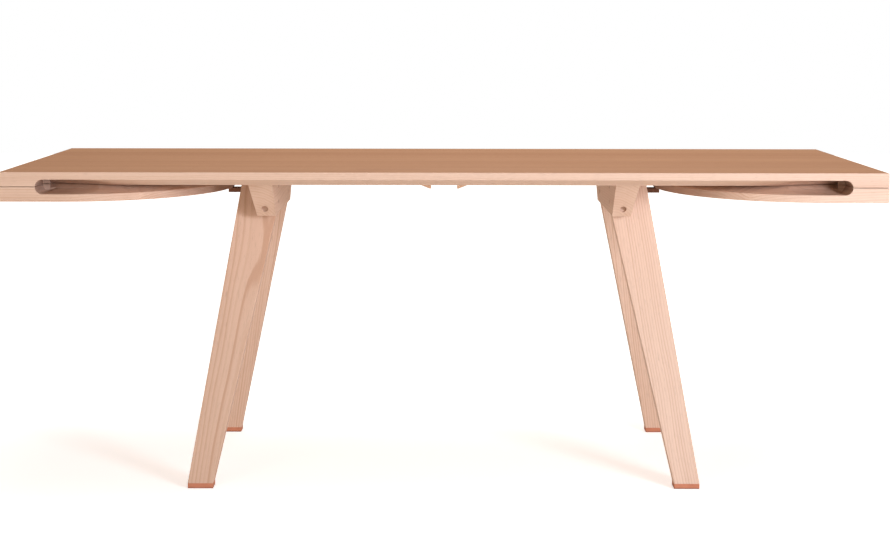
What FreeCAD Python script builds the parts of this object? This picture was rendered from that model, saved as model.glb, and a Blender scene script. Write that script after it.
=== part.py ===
import FreeCAD, Part
import os
import re
import Sketcher
from FreeCAD import Placement, Rotation, Vector

# Extending trestle table with a D-shaped leaf folded flat under each end of the top.
# Frame: millimetres, origin on the floor under the middle of the top, X along the table, Y across it, Z up.
# A leaf turns half a turn about the hinge line at its end of the table and lies level with the top, and two
# bars that slide in dovetail grooves under the top are pulled out beneath it.

doc = FreeCAD.newDocument("drop_leaf_table")

SIZES = [
    ("half_length", 999.6, "middle of the top to its end face"),
    ("half_depth", 450, "middle of the top to its long edge"),
    ("table_height", 740, "floor to the top's upper face"),
    ("board_thick", 33, "thickness of the top and of each leaf"),
    ("board_gap", 1, "gap between the top and a folded leaf"),
    ("underside", 707, "height of the top's lower face"),
    ("hinge_x", 1000, "middle of the table to a hinge line"),
    ("hinge_z", 706.5, "height of the hinge lines"),
    ("leaf_length", 482.5, "hinge line to the tip of a leaf"),
    ("leaf_straight", 142, "hinge line to where the leaf's edge starts to curve"),
    ("undercut_high", 16, "height of the undercut at the edge of a board"),
    ("undercut_deep", 60, "how far the undercut reaches in from the edge"),
    ("undercut_end", 98, "hinge line to the last of the undercut"),
    ("scoop_long", 148, "length over which the finger scoop fades into the undercut"),
    ("scoop_deep", 118, "how far the finger scoop reaches in at its end"),
    ("scoop_round_deep", 94, "how far the round end of a finger scoop reaches in"),
    ("edge_round", 1.5, "rounding of the boards' edges"),
    ("foot_thick", 12, "thickness of a foot pad"),
    ("leg_foot_inner", 533, "middle of the table to the inside of a leg at the foot"),
    ("leg_foot_outer", 592, "middle of the table to the outside of a leg at the foot"),
    ("leg_head_outer", 480, "middle of the table to the outside of a leg at the top"),
    ("leg_foot_recess", 98, "long edge of the top to a leg's outer face at the foot"),
    ("leg_head_recess", 290, "long edge of the top to a leg's outer face at the top"),
    ("leg_thick", 44.6, "thickness of a leg, measured level"),
    ("leg_round", 1.5, "rounding of the legs' edges"),
    ("leg_head_set", 3, "crossbeam's inner face to a leg's inner edge"),
    ("beam_bottom", 621, "height of a crossbeam's lower face"),
    ("beam_inner", 396, "middle of the table to a crossbeam's inner face"),
    ("beam_low_outer", 440, "middle of the table to a crossbeam's outer face, at its bottom"),
    ("beam_top_outer", 452, "middle of the table to a crossbeam's outer face, at its top"),
    ("beam_reach", 337, "half the length of a crossbeam, at its top"),
    ("beam_low_reach", 225, "half the length of a crossbeam, at its bottom"),
    ("plug_radius", 7.5, "radius of the plugged hole in a crossbeam's end"),
    ("plug_x", 420, "middle of the table to the plugged hole"),
    ("plug_z", 640, "height of the plugged hole"),
    ("plug_face", 236, "middle of a crossbeam to the outer face of a plug"),
    ("plug_long", 15, "length of a plug"),
    ("top_bolt_x", 414.5, "middle of the table to the bolts up into the top"),
    ("top_bolt_y", 205, "middle of the top to the outer bolts of a crossbeam"),
    ("bolt_radius", 4, "radius of a bolt's shank"),
    ("head_radius", 6.5, "radius of a bolt's head"),
    ("head_high", 8, "height of a bolt's head"),
    ("counterbore", 9, "radius of the counterbore round a bolt's head"),
    ("top_bolt_head", 652, "height of the underside of the heads of the bolts up into the top"),
    ("insert_radius", 6, "radius of a threaded insert"),
    ("insert_long", 20, "length of a threaded insert"),
    ("insert_sink", 0.5, "how far a threaded insert is sunk into the top"),
    ("side_bolt_low", 650, "height of the lower bolt into a leg"),
    ("side_bolt_high", 686, "height of the upper bolt into a leg"),
    ("side_bolt_radius", 3, "radius of a bolt into a leg"),
    ("side_head_radius", 5.5, "radius of the head of a bolt into a leg"),
    ("side_head_high", 6, "height of the head of a bolt into a leg"),
    ("side_head_deep", 12, "crossbeam's inner face to the seat of a bolt's head"),
    ("nut_x", 468, "middle of the table to the cross dowels"),
    ("nut_radius", 5, "radius of a cross dowel"),
    ("nut_long", 18, "length of a cross dowel"),
    ("past_nut", 4, "middle of a cross dowel to the end of its bolt"),
    ("running_fit", 0.05, "radial clearance of a pin or a bolt in its hole"),
    ("plate_long", 80, "length of a hinge"),
    ("plate_wide", 32, "hinge line to the far edge of a hinge plate"),
    ("plate_thick", 2, "thickness of a hinge plate"),
    ("plate_room", 0.2, "clearance round a hinge plate"),
    ("plate_screw_y", 29, "middle of a hinge to its outer screws"),
    ("plate_screw_far", 20, "hinge line to the outer screws of a hinge"),
    ("plate_screw_near", 12, "hinge line to the middle screw of a hinge"),
    ("barrel_radius", 3, "radius of a hinge's barrel"),
    ("pin_radius", 1.4, "radius of a hinge pin"),
    ("barrel_room", 0.4, "clearance round a hinge's barrel"),
    ("barrel_end_room", 1, "clearance past the ends of a hinge's barrel"),
    ("knuckle_gap", 0.1, "half the gap between two knuckles"),
    ("outer_hinge_y", 380, "middle of the top to the outer hinges"),
    ("screw_radius", 1.7, "radius of a wood screw's shank"),
    ("screw_head", 3.4, "radius of a wood screw's head"),
    ("screw_long", 17, "length of a wood screw"),
    ("cap_high", 2, "height of the head of a catch's screw"),
    ("head_room", 0.6, "clearance round the head of a sunk screw"),
    ("sink_room", 0.02, "how much deeper a countersink in a plate is than its screw's head"),
    ("foot_screw_x", 13, "middle of a foot to its screws"),
    ("foot_screw_seat", 4, "height of the seats of a foot's screws"),
    ("foot_screw_long", 35, "length of a foot's screws"),
    ("foot_pilot", 30, "depth of the pilot holes in a leg's foot"),
    ("bar_y", 300, "middle of the top to a support bar"),
    ("bar_low_half", 20, "half the width of a support bar's lower face"),
    ("bar_top_half", 23, "half the width of a support bar's upper face"),
    ("bar_thick", 11.4, "thickness of a support bar"),
    ("bar_gap", 0.3, "clearance round a support bar"),
    ("bar_inner", 30, "middle of the table to a support bar's inner end"),
    ("bar_outer", 990, "middle of the table to a support bar's outer end"),
    ("bar_travel", 320, "travel of a support bar"),
    ("slot_room", 1, "clearance on each side of a bar in a leaf"),
    ("slot_end_room", 5, "clearance past the end of a bar that is pulled out"),
    ("grip_long", 38, "length of a finger grip"),
    ("grip_high", 14, "height of a finger grip"),
    ("grip_edge", 3, "width of a finger grip's lower edge"),
    ("grip_inset", 2, "side of a bar to the side of its grip"),
    ("catch_block_inner", 462, "middle of the table to the near face of a catch block"),
    ("catch_block_outer", 496, "middle of the table to the far face of a catch block"),
    ("catch_half", 20, "half the width of a catch"),
    ("catch_block_low", 672, "height of a catch block's lower face"),
    ("tongue_inner", 462, "middle of the table to the free end of a catch tongue"),
    ("tongue_outer", 529, "middle of the table to the fixed end of a catch tongue"),
    ("tongue_top", 671.5, "height of a catch tongue's upper face"),
    ("tongue_low", 660.5, "height of a catch tongue's lower face"),
    ("magnet_radius", 8, "radius of a catch magnet and of the steel disc that it holds"),
    ("magnet_thick", 4, "thickness of a catch magnet"),
    ("disc_thick", 2, "thickness of a keeper disc"),
    ("block_screw_y", 14, "middle of a catch to its block's screws"),
    ("block_screw_deep", 8, "underside to the seat of a block's screw"),
    ("block_screw_long", 20, "length of a block's screws"),
    ("block_pilot", 14, "depth of the pilot holes over a catch block"),
    ("riser_inset", 1.5, "tip of a leaf to the riser of its tongue"),
    ("tongue_screw_y", 12, "middle of a catch to its tongue's screws"),
    ("tongue_screw_inset", 5, "fixed end of a tongue to its screws"),
    ("tongue_screw_seat", 666.5, "height of the seats of a tongue's screws"),
    ("tongue_screw_long", 16, "length of a tongue's screws"),
    ("tongue_pilot", 12, "depth of the pilot holes in a leaf's tip"),
    ("overrun", 5, "how far a cutting shape runs past what it cuts"),
]
ALIASES = {alias for alias, number, note in SIZES}
KNUCKLES = 5
HINGE_POSITIONS = {"front": "-outer_hinge_y", "middle": "0", "back": "outer_hinge_y"}
SIDES = {"left": -1, "right": 1}
RANKS = {"front": -1, "back": 1}

sheet = doc.addObject("Spreadsheet::Sheet", "Sizes")
for row, (alias, number, note) in enumerate(SIZES, start=1):
    sheet.set(f"A{row}", note)
    sheet.set(f"B{row}", str(number))
    sheet.setAlias(f"B{row}", alias)
doc.recompute()

nodes = []


# --- expressions and sketches -------------------------------------------------------------------------------

def value(expression):
    """The number that an expression in the sheet's aliases comes to."""
    return float(sheet.evalExpression(str(expression)))


def bound(expression):
    """The same expression, with each alias looked up in the sheet."""
    def point(match):
        word = match.group()
        return f"Sizes.{word}" if word in ALIASES else word
    return re.sub(r"[a-z_]\w*", point, str(expression))


def bind(thing, prop, expression):
    thing.setExpression(prop, bound(expression))


def keep(thing, node):
    """Marks an object as a finished piece that is written to its own file."""
    thing.Label = node
    nodes.append(thing)
    return thing


def new_body(name, base=None):
    body = doc.addObject("PartDesign::Body", name)
    if base is not None:
        body.BaseFeature = base
    return body


NORMAL = {"XY": 1, "XZ": -1, "YZ": 1}


def sketch_at(body, plane, height):
    """A sketch on one of the body's own planes, moved along that plane's axis to the height."""
    role = plane + "_Plane"
    support = [item for item in body.Origin.OriginFeatures if item.Role == role][0]
    sketch = body.newObject("Sketcher::SketchObject", body.Name + "_sketch")
    sketch.AttachmentSupport = [(support, "")]
    sketch.MapMode = "FlatFace"
    bind(sketch, "AttachmentOffset.Base.z", f"{NORMAL[plane]}*({height})")
    return sketch


def fix_point(sketch, line, end, across, up):
    for kind, expression in (("DistanceX", across), ("DistanceY", up)):
        index = sketch.addConstraint(Sketcher.Constraint(kind, -1, 1, line, end, value(expression)))
        bind(sketch, f"Constraints[{index}]", expression)


def polygon(sketch, points):
    """A closed outline of straight lines, each corner held by two bound distances."""
    first = sketch.GeometryCount
    corners = [Vector(value(across), value(up), 0) for across, up in points]
    count = len(corners)
    for i in range(count):
        sketch.addGeometry(Part.LineSegment(corners[i], corners[(i + 1) % count]), False)
    for i in range(count):
        following = first + (i + 1) % count
        sketch.addConstraint(Sketcher.Constraint("Coincident", first + i, 2, following, 1))
    for i, (across, up) in enumerate(points):
        fix_point(sketch, first + i, 1, across, up)


def rectangle(sketch, left, low, right, high):
    polygon(sketch, [(left, low), (right, low), (right, high), (left, high)])


def circle(sketch, across, up, radius):
    middle = Vector(value(across), value(up), 0)
    index = sketch.addGeometry(Part.Circle(middle, Vector(0, 0, 1), value(radius)), False)
    fix_point(sketch, index, 3, across, up)
    limit = sketch.addConstraint(Sketcher.Constraint("Radius", index, value(radius)))
    bind(sketch, f"Constraints[{limit}]", radius)


def prism(body, kind, plane, start, end, draw, *outlines):
    """Pads or pockets what draw makes of each outline, between two heights along the plane's axis."""
    sketch = sketch_at(body, plane, start)
    for outline in outlines:
        draw(sketch, *outline)
    feature = body.newObject("PartDesign::" + kind, body.Name + "_" + kind.lower())
    feature.Profile = sketch
    bind(feature, "Length", f"abs(({end}) - ({start}))")
    along_normal = (value(end) > value(start)) == (NORMAL[plane] > 0)
    feature.Reversed = along_normal if kind == "Pocket" else not along_normal
    return feature


def pad(body, plane, start, end, draw, *outlines):
    return prism(body, "Pad", plane, start, end, draw, *outlines)


def pocket(body, plane, start, end, draw, *outlines):
    return prism(body, "Pocket", plane, start, end, draw, *outlines)


def loft(body, kind, plane, sections):
    """Adds or takes away the straight-sided loft between two polygons."""
    sketches = []
    for height, points in sections:
        sketch = sketch_at(body, plane, height)
        polygon(sketch, points)
        sketches.append(sketch)
    feature = body.newObject("PartDesign::" + kind, body.Name + "_loft")
    feature.Profile = sketches[0]
    feature.Sections = sketches[1:]
    feature.Ruled = True
    return feature


def dress(body, kind, size, chosen):
    """Rounds or chamfers the chosen edges of the body as built so far."""
    doc.recompute()
    base = body.Tip
    edges = [f"Edge{i}" for i, edge in enumerate(base.Shape.Edges, start=1) if chosen(edge)]
    feature = body.newObject("PartDesign::" + kind, body.Name + "_" + kind.lower())
    feature.Base = (base, edges)
    bind(feature, "Radius" if kind == "Fillet" else "Size", size)
    body.Tip = feature
    return feature


def near(number, expression, within=0.01):
    return abs(number - value(expression)) < within


# --- primitives ---------------------------------------------------------------------------------------------

AXES = {
    "+X": Rotation(Vector(0, 1, 0), 90),
    "-X": Rotation(Vector(0, 1, 0), -90),
    "+Y": Rotation(Vector(1, 0, 0), -90),
    "-Y": Rotation(Vector(1, 0, 0), 90),
    "+Z": Rotation(),
    "-Z": Rotation(Vector(1, 0, 0), 180),
}


def primitive(kind, name, at, axis="+Z", **sizes):
    """A bound Part primitive whose own Z axis points along the given axis of the table."""
    shape = doc.addObject("Part::" + kind, name)
    shape.Placement = Placement(Vector(*[value(place) for place in at]), AXES[axis])
    for letter, place in zip("xyz", at):
        bind(shape, f"Placement.Base.{letter}", place)
    for prop, size in sizes.items():
        bind(shape, prop, size)
    return shape


def fused(name, shapes):
    whole = doc.addObject("Part::MultiFuse", name)
    whole.Shapes = shapes
    return whole


def group(node, shapes):
    """Several separate solids of one kind, kept as one piece."""
    whole = doc.addObject("Part::Compound", node)
    whole.Links = shapes
    return keep(whole, node)


def step(at, axis, distance):
    """The point a distance along an axis from another."""
    moved = list(at)
    index = "XYZ".index(axis[1])
    moved[index] = f"({moved[index]}) {axis[0]} ({distance})"
    return moved


def stepped_bolt(name, at, axis, head, head_long, shank, length):
    """A cylinder head that ends at the point, with the shank going on along the axis."""
    back = {"+": "-", "-": "+"}[axis[0]] + axis[1]
    cap = primitive("Cylinder", name + "_head", step(at, back, head_long), axis,
                    Radius=head, Height=head_long)
    rod = primitive("Cylinder", name + "_shank", at, axis, Radius=shank, Height=length)
    return fused(name, [cap, rod])


def wood_screw(name, at, axis, length="screw_long"):
    """A countersunk screw with its head flush at the point."""
    sink = "(screw_head - screw_radius)"
    head = primitive("Cone", name + "_head", at, axis,
                     Radius1="screw_head", Radius2="screw_radius", Height=sink)
    shank = primitive("Cylinder", name + "_shank", step(at, axis, sink), axis,
                      Radius="screw_radius", Height=f"{length} - {sink}")
    return fused(name, [head, shank])


# --- shared places ------------------------------------------------------------------------------------------

def hinge_screw_places(side, hinge_y):
    """The three screws of one hinge plate, seen from below."""
    rows = [("plate_screw_y", "plate_screw_far"), ("0", "plate_screw_near"),
            ("-plate_screw_y", "plate_screw_far")]
    return [(f"{side}*(hinge_x - {inset})", f"{hinge_y} + {offset}") for offset, inset in rows]


def tongue_screw_places(side):
    x = f"{side}*(tongue_outer - tongue_screw_inset)"
    return [(x, "-tongue_screw_y"), (x, "tongue_screw_y")]


def block_screw_places(side):
    x = f"{side}*(catch_block_inner + catch_block_outer)/2"
    return [(x, "-block_screw_y"), (x, "block_screw_y")]


def top_bolt_places(side):
    return [(f"{side}*top_bolt_x", place) for place in ("-top_bolt_y", "0", "top_bolt_y")]


def leg_face(rank, height):
    """Where the outer face of a leg is, at a height."""
    rise = f"(({height}) - foot_thick)/(underside - foot_thick)"
    recess = f"(leg_foot_recess + (leg_head_recess - leg_foot_recess)*{rise})"
    return f"{rank}*(half_depth - {recess})"


def leg_middle(rank, height):
    return f"({leg_face(rank, height)}) - {rank}*leg_thick/2"


def scoop_sections(side, rank, up):
    """Two sections of the finger scoop: deep and hollow at its end, then as shallow as the undercut.

    up is 1 for the scoop in the top and -1 for its twin in the leaf.
    """
    face = "underside" if up > 0 else "(underside - board_gap)"
    deep = [(0, 1), (0.45, 0.92), (0.8, 0.6), (1, 0)]
    flat = [(0, 1), (1 / 3, 2 / 3), (2 / 3, 1 / 3), (1, 0)]
    sections = []
    for along, reach, profile in (("undercut_end", "scoop_deep", deep),
                                  ("undercut_end + scoop_long", "undercut_deep", flat)):
        points = [(f"{rank}*(half_depth - {reach}*{far})", f"{face} + {up}*undercut_high*{rise}")
                  for far, rise in profile]
        points.append((f"{rank}*(half_depth - {reach})", f"{face} - {up}*overrun"))
        points.append((f"{rank}*(half_depth + overrun)", f"{face} - {up}*overrun"))
        points.append((f"{rank}*(half_depth + overrun)", f"{face} + {up}*undercut_high"))
        sections.append((f"{side}*(hinge_x - ({along}))", points))
    return sections


def carve_edge_ends(body, side, up):
    """The round-ended finger scoops beside one hinge line, in the top or in a leaf."""
    middle = f"{side}*(hinge_x - undercut_end)"
    for rank in RANKS.values():
        pocket(body, "XZ", f"{rank}*(half_depth + overrun)", f"{rank}*(half_depth - scoop_round_deep)",
               circle, (middle, "hinge_z", "undercut_high + board_gap/2"))
        loft(body, "SubtractiveLoft", "YZ", scoop_sections(side, rank, up))


def let_in_hinges(body, side, up):
    """Recesses for the hinge plates, room for the barrels, and the screws' pilot holes."""
    face = "underside" if up > 0 else "(underside - board_gap)"
    recesses = []
    screws = []
    for hinge_y in HINGE_POSITIONS.values():
        half = "(plate_long/2 + plate_room)"
        recesses.append((f"{side}*(hinge_x - plate_wide - plate_room)", f"{hinge_y} - {half}",
                         f"{side}*(hinge_x + overrun)", f"{hinge_y} + {half}"))
        screws += [(x, y, "screw_radius") for x, y in hinge_screw_places(side, hinge_y)]
    pocket(body, "XY", f"{face} - {up}*overrun", f"{face} + {up}*plate_thick", rectangle, *recesses)
    pocket(body, "XY", face, f"{face} + {up}*screw_long", circle, *screws)
    for hinge_y in HINGE_POSITIONS.values():
        half = "(plate_long/2 + barrel_end_room)"
        pocket(body, "XZ", f"{hinge_y} - {half}", f"{hinge_y} + {half}", circle,
               (f"{side}*hinge_x", "hinge_z", "barrel_radius + barrel_room"))


# --- the boards ---------------------------------------------------------------------------------------------

def make_top():
    """One board with an undercut along both long edges and two dovetail grooves for the support bars."""
    body = new_body("table_top")
    pad(body, "XY", "underside", "table_height", rectangle,
        ("-half_length", "-half_depth", "half_length", "half_depth"))
    dress(body, "Fillet", "edge_round", lambda edge: True)
    slopes = []
    for rank in RANKS.values():
        slopes.append([(f"{rank}*half_depth", "underside + undercut_high"),
                       (f"{rank}*(half_depth - undercut_deep)", "underside"),
                       (f"{rank}*(half_depth - undercut_deep)", "underside - overrun"),
                       (f"{rank}*(half_depth + overrun)", "underside - overrun"),
                       (f"{rank}*(half_depth + overrun)", "underside + undercut_high")])
    reach = "hinge_x - undercut_end"
    pocket(body, "YZ", f"-({reach})", reach, polygon, (slopes[0],), (slopes[1],))
    grooves = []
    for rank in RANKS.values():
        low = "(bar_low_half + bar_gap*1.5)"
        high = "(bar_top_half + bar_gap*1.5)"
        roof = "underside + bar_thick + bar_gap*2"
        grooves.append([(f"{rank}*bar_y - {low}", "underside - overrun"),
                        (f"{rank}*bar_y - {low}", "underside"), (f"{rank}*bar_y - {high}", roof),
                        (f"{rank}*bar_y + {high}", roof), (f"{rank}*bar_y + {low}", "underside"),
                        (f"{rank}*bar_y + {low}", "underside - overrun")])
    pocket(body, "YZ", "-hinge_x", "hinge_x", polygon, (grooves[0],), (grooves[1],))
    inserts = []
    pilots = []
    for side in SIDES.values():
        carve_edge_ends(body, side, 1)
        let_in_hinges(body, side, 1)
        inserts += [(x, y, "insert_radius") for x, y in top_bolt_places(side)]
        pilots += [(x, y, "screw_radius") for x, y in block_screw_places(side)]
    pocket(body, "XY", "underside", "underside + insert_long + insert_sink*2", circle, *inserts)
    pocket(body, "XY", "underside", "underside + block_pilot", circle, *pilots)
    return keep(body, "table_top")


def make_leaf(name, side):
    """A D-shaped board with the same undercut round its curve, shown folded under the top."""
    low = "(underside - board_gap - board_thick)"
    shoulder = "(underside - board_gap - undercut_high)"
    face = "(underside - board_gap)"
    curve_x = f"{side}*(hinge_x - leaf_straight)"
    reach = "(leaf_length - leaf_straight)"
    outline = primitive("Ellipse", name + "_outline", (curve_x, "0", low), "+Z",
                        MajorRadius="half_depth", MinorRadius=reach)
    rim = primitive("Ellipse", name + "_rim", (curve_x, "0", shoulder), "+Z",
                    MajorRadius="half_depth", MinorRadius=reach)
    crest = primitive("Ellipse", name + "_crest", (curve_x, "0", face), "+Z",
                      MajorRadius="half_depth - undercut_deep", MinorRadius=f"{reach} - undercut_deep")
    quarter = Rotation(Vector(0, 0, 1), 90)
    for ring in (outline, rim, crest):
        ring.Placement = Placement(ring.Placement.Base, quarter)
    slab = doc.addObject("Part::Extrusion", name + "_slab")
    slab.Base = outline
    slab.DirMode = "Normal"
    slab.Solid = True
    bind(slab, "LengthFwd", "board_thick - undercut_high")
    cone = doc.addObject("Part::Loft", name + "_cone")
    cone.Sections = [rim, crest]
    cone.Solid = True
    cone.Ruled = True
    near_end = "(hinge_x - undercut_end)"
    flank = new_body(name + "_flank")
    pad(flank, "XY", low, shoulder, rectangle, (curve_x, "-half_depth", f"{side}*half_length", "half_depth"))
    pad(flank, "XY", shoulder, face, rectangle,
        (f"{side}*{near_end}", "-half_depth", f"{side}*half_length", "half_depth"))
    pad(flank, "YZ", curve_x, f"{side}*{near_end}", polygon,
        ([("-half_depth", shoulder), ("half_depth", shoulder), ("half_depth - undercut_deep", face),
          ("undercut_deep - half_depth", face)],))
    half = doc.addObject("Part::Box", name + "_half")
    bind(half, "Length", reach)
    bind(half, "Width", "half_depth*2")
    bind(half, "Height", "board_thick")
    bind(half, "Placement.Base.x", "hinge_x - leaf_length" if side > 0 else "leaf_straight - hinge_x")
    bind(half, "Placement.Base.y", "-half_depth")
    bind(half, "Placement.Base.z", low)
    nose = doc.addObject("Part::MultiCommon", name + "_nose")
    nose.Shapes = [fused(name + "_round", [slab, cone]), half]
    board = doc.addObject("Part::MultiFuse", name + "_board")
    board.Shapes = [nose, flank]
    board.Refine = True
    doc.recompute()
    body = new_body(name, board)
    level = (low, shoulder)
    dress(body, "Fillet", "edge_round",
          lambda edge: any(near(edge.BoundBox.ZMin, z) and near(edge.BoundBox.ZMax, z) for z in level))
    slots = []
    for rank in RANKS.values():
        wide = "(bar_top_half + slot_room)"
        end = "(2*hinge_x - bar_outer - bar_travel - slot_end_room)"
        slots.append((f"{side}*{end}", f"{rank}*bar_y - {wide}",
                      f"{side}*(hinge_x + overrun)", f"{rank}*bar_y + {wide}"))
    pocket(body, "XY", f"{face} + overrun", f"{face} - bar_thick - bar_gap*3", rectangle, *slots)
    carve_edge_ends(body, side, -1)
    let_in_hinges(body, side, -1)
    pocket(body, "XY", low, f"{low} + tongue_pilot", circle,
           *[(x, y, "screw_radius") for x, y in tongue_screw_places(side)])
    return keep(body, name)


# --- trestles -----------------------------------------------------------------------------------------------

def make_beam(name, side):
    """The crossbeam of a trestle, with ends that slope in towards its bottom and a plugged hole in each."""
    body = new_body(name)
    outline = [(f"{side}*beam_inner", "beam_bottom"), (f"{side}*beam_low_outer", "beam_bottom"),
               (f"{side}*beam_top_outer", "underside"), (f"{side}*beam_inner", "underside")]
    pad(body, "XZ", "-beam_reach", "beam_reach", polygon, (outline,))
    slopes = []
    for rank in RANKS.values():
        slopes.append([(f"{rank}*beam_reach", "underside"), (f"{rank}*beam_low_reach", "beam_bottom"),
                       (f"{rank}*beam_low_reach", "beam_bottom - overrun"),
                       (f"{rank}*(beam_reach + overrun)", "beam_bottom - overrun"),
                       (f"{rank}*(beam_reach + overrun)", "underside")])
    pocket(body, "YZ", f"{side}*(beam_inner - overrun)", f"{side}*(beam_top_outer + overrun)", polygon,
           (slopes[0],), (slopes[1],))
    dress(body, "Fillet", "leg_round", lambda edge: edge.BoundBox.ZMax < value("underside") - 0.01)
    for rank in RANKS.values():
        pocket(body, "XZ", f"{rank}*beam_reach", f"{rank}*(plug_face - plug_long)", circle,
               (f"{side}*plug_x", "plug_z", "plug_radius"))
    spots = top_bolt_places(side)
    pocket(body, "XY", "beam_bottom", "top_bolt_head", circle, *[(x, y, "counterbore") for x, y in spots])
    pocket(body, "XY", "beam_bottom", "underside", circle,
           *[(x, y, "bolt_radius + running_fit") for x, y in spots])
    heads = []
    shanks = []
    for rank in RANKS.values():
        for height in ("side_bolt_low", "side_bolt_high"):
            heads.append((leg_middle(rank, height), height, "side_head_radius + head_room"))
            shanks.append((leg_middle(rank, height), height, "side_bolt_radius + running_fit"))
    pocket(body, "YZ", f"{side}*beam_inner", f"{side}*(beam_inner + side_head_deep)", circle, *heads)
    pocket(body, "YZ", f"{side}*beam_inner", f"{side}*beam_top_outer", circle, *shanks)
    return keep(body, name)


def make_leg(name, side, rank):
    """A leg that leans both ways, notched at its head so that the crossbeam rests on its shoulder."""
    body = new_body(name)
    outline = [(f"{side}*leg_foot_inner", "foot_thick"), (f"{side}*leg_foot_outer", "foot_thick"),
               (f"{side}*leg_head_outer", "underside"), (f"{side}*beam_top_outer", "underside"),
               (f"{side}*beam_low_outer", "beam_bottom"),
               (f"{side}*(beam_inner + leg_head_set)", "beam_bottom")]
    pad(body, "XZ", f"{rank}*half_depth", "0", polygon, (outline,))
    for shift, away in (("0", rank), (f"-{rank}*leg_thick", -rank)):
        low = f"{leg_face(rank, 'foot_thick')} + {shift}"
        high = f"{leg_face(rank, 'underside')} + {shift}"
        run = f"({high} - ({low}))/(underside - foot_thick)"
        past_low = f"{low} - {run}*overrun"
        past_high = f"{high} + {run}*overrun"
        waste = [(past_low, "foot_thick - overrun"), (past_high, "underside + overrun"),
                 (f"{past_high} + {away}*half_depth*2", "underside + overrun"),
                 (f"{past_low} + {away}*half_depth*2", "foot_thick - overrun")]
        pocket(body, "YZ", f"{side}*(beam_inner - overrun)", f"{side}*(leg_foot_outer + overrun)",
               polygon, (waste,))
    dress(body, "Fillet", "leg_round", lambda edge: edge.Length > value("underside")/2)
    for height in ("side_bolt_low", "side_bolt_high"):
        middle = leg_middle(rank, height)
        pocket(body, "YZ", f"{side}*beam_inner", f"{side}*(nut_x + past_nut*2)", circle,
               (middle, height, "side_bolt_radius + running_fit"))
        pocket(body, "XZ", f"{middle} + {rank}*nut_long/2", f"{middle} - {rank}*leg_thick", circle,
               (f"{side}*nut_x", height, "nut_radius"))
    pocket(body, "XY", "foot_thick", "foot_thick + foot_pilot", circle,
           *[(x, y, "screw_radius") for x, y in foot_screw_places(side, rank)])
    return keep(body, name)


def foot_screw_places(side, rank):
    y = leg_middle(rank, "foot_thick")
    middle = f"{side}*(leg_foot_inner + leg_foot_outer)/2"
    return [(f"{middle} - foot_screw_x", y), (f"{middle} + foot_screw_x", y)]


def make_foot(name, side, rank):
    """A pad of darker wood under a leg, with two screws sunk into it."""
    body = new_body(name)
    outer = leg_face(rank, "foot_thick")
    pad(body, "XY", "0", "foot_thick", rectangle,
        (f"{side}*leg_foot_inner", outer, f"{side}*leg_foot_outer", f"{outer} - {rank}*leg_thick"))
    dress(body, "Fillet", "leg_round", lambda edge: edge.BoundBox.ZMax < value("foot_thick") - 0.01
          or edge.BoundBox.ZLength > 5)
    spots = foot_screw_places(side, rank)
    pocket(body, "XY", "0", "foot_screw_seat", circle, *[(x, y, "screw_head + head_room") for x, y in spots])
    pocket(body, "XY", "foot_screw_seat", "foot_thick", circle, *[(x, y, "screw_radius") for x, y in spots])
    dress(body, "Chamfer", "screw_head - screw_radius",
          lambda edge: near(edge.BoundBox.ZMax, "foot_screw_seat")
          and near(edge.BoundBox.XLength, "screw_radius*2", 0.05))
    return keep(body, name)


# --- hinges -------------------------------------------------------------------------------------------------

def knuckles(hinge_y, parity):
    """The start and end along Y of every other knuckle of a hinge."""
    pitch = f"plate_long/{KNUCKLES}"
    start = f"{hinge_y} - plate_long/2"
    return [(f"{start} + {pitch}*{i} + knuckle_gap", f"{start} + {pitch}*{i + 1} - knuckle_gap")
            for i in range(KNUCKLES) if i % 2 == parity]


def make_hinge_plate(node, side, hinge_y, up):
    """One plate of a butt hinge: on the top with three knuckles, on the leaf with two."""
    body = new_body(node)
    face = "underside" if up > 0 else "(underside - board_gap)"
    back = f"{face} + {up}*plate_thick"
    edge = f"{side}*(hinge_x - barrel_radius - barrel_room)"
    own = knuckles(hinge_y, 0 if up > 0 else 1)
    pad(body, "XY", face, back, rectangle,
        (f"{side}*(hinge_x - plate_wide)", f"{hinge_y} - plate_long/2", edge, f"{hinge_y} + plate_long/2"))
    root = f"{side}*(hinge_x - barrel_radius - barrel_room*2)"
    tabs = [(root, start, f"{side}*hinge_x", end) for start, end in own]
    pad(body, "XY", face, back, rectangle, *tabs)
    for start, end in own:
        pad(body, "XZ", start, end, circle, (f"{side}*hinge_x", "hinge_z", "barrel_radius"))
    pocket(body, "XZ", f"{hinge_y} - plate_long/2 - overrun", f"{hinge_y} + plate_long/2 + overrun", circle,
           (f"{side}*hinge_x", "hinge_z", "pin_radius + running_fit"))
    spots = hinge_screw_places(side, hinge_y)
    pocket(body, "XY", face, back, circle, *[(x, y, "screw_radius") for x, y in spots])
    dress(body, "Chamfer", "screw_head - screw_radius + sink_room",
          lambda rim: near(rim.BoundBox.ZMax, face) and near(rim.BoundBox.XLength, "screw_radius*2", 0.05)
          and near(rim.BoundBox.ZMin, face))
    return keep(body, node)


def hinge_screws(node, sides, up):
    face = "underside" if up > 0 else "(underside - board_gap)"
    screws = []
    for side in sides:
        for hinge_y in HINGE_POSITIONS.values():
            for x, y in hinge_screw_places(side, hinge_y):
                screws.append(wood_screw(node + "_screw", (x, y, face), "+Z" if up > 0 else "-Z"))
    return group(node, screws)


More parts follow.
